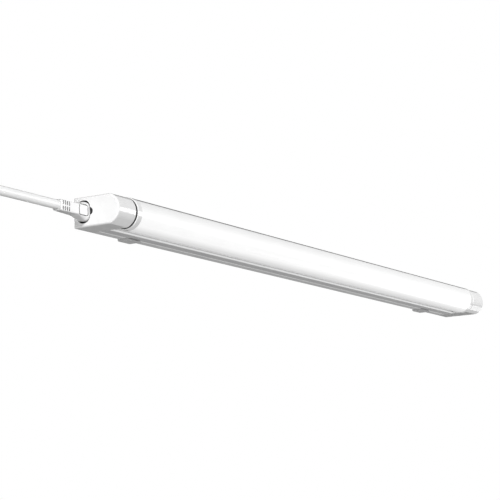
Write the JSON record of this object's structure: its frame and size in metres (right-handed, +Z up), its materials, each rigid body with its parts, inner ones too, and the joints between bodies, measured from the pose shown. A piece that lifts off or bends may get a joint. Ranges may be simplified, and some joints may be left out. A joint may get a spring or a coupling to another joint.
{
  "type": "swivelling linear led batten light",
  "caption": "Slim linear LED light: a round opal tube that swivels between two end blocks on a flat rail, held by snap clips, with a plug-in power lead at one end.",
  "frame": {"origin": "middle between the two clip screw holes, on the back face that lies on the wall, ceiling or cabinet", "axes": "+X along the light towards its link outlet, +Y into the mounting surface, +Z up in the pictured position"},
  "size_m": [0.8333, 0.04, 0.184],
  "materials": {
    "white_plastic": "satin moulded polycarbonate",
    "bush_plastic": "plain acetal",
    "tray_plastic": "fine moulded grain",
    "rail_paint": "satin powder coat on aluminium",
    "steel": "zinc-plated",
    "clip_plastic": "moulded nylon",
    "dark_insulator": "black insulating plastic",
    "brass": "plain brass",
    "driver_laminate": "solder mask on glass laminate",
    "capacitor_sleeve": "shrink sleeve",
    "ferrite": "ferrite core",
    "chip_black": "moulded epoxy",
    "wire_insulation": "PVC wire insulation",
    "connector_plastic": "moulded nylon",
    "black_rubber": "matt rubber",
    "opal_plastic": "opal polycarbonate, lit from inside",
    "aluminium": "plain extruded",
    "led_laminate": "white solder mask on aluminium",
    "led_phosphor": "phosphor window",
    "lead_white": "soft white PVC",
    "tie_black": "soft strap",
    "pin_nickel": "nickel-plated brass"
  },
  "bodies": {
    "base": {"near_end_block": "white_plastic", "far_end_block": "white_plastic", "near_inner_plate": "white_plastic", "far_inner_plate": "white_plastic", "near_bush": "bush_plastic", "far_bush": "bush_plastic", "rear_tray": "tray_plastic", "rail_cover": "rail_paint", "tray_screws": "steel", "left_mounting_clip": "clip_plastic", "right_mounting_clip": "clip_plastic", "inlet_insert": "dark_insulator", "outlet_insert": "dark_insulator", "inlet_pins": "brass", "outlet_contacts": "brass", "driver_board": "driver_laminate", "driver_capacitor": "capacitor_sleeve", "driver_transformer": "ferrite", "driver_choke": "ferrite", "driver_chips": "chip_black", "supply_wires": "wire_insulation", "driver_leads": "wire_insulation", "driver_connector": "connector_plastic"},
    "tube": {"diffuser": "opal_plastic", "heat_sink": "aluminium", "led_board": "led_laminate", "leds": "led_phosphor", "led_leads": "wire_insulation", "led_connector": "connector_plastic", "near_tube_collar": "white_plastic", "far_tube_collar": "white_plastic", "near_friction_ring": "black_rubber", "far_friction_ring": "black_rubber"},
    "lead": {"lead_plug": "lead_white", "plug_contacts": "brass", "lead_cord": "lead_white", "lead_coil": "lead_white", "coil_tie": "tie_black", "mains_relief": "lead_white", "mains_plug": "lead_white", "mains_pins": "pin_nickel"}
  },
  "joints": [
    {"name": "tube_swivel", "type": "hinge", "parent": "base", "child": "tube", "pos_m": [0, -0.0285, 0], "axis": [1, 0, 0], "range_deg": [-60, 60]},
    {"name": "lead_unplug", "type": "slide", "parent": "base", "child": "lead", "axis": [-1, 0, 0], "range_m": [0, 0.014]}
  ]
}
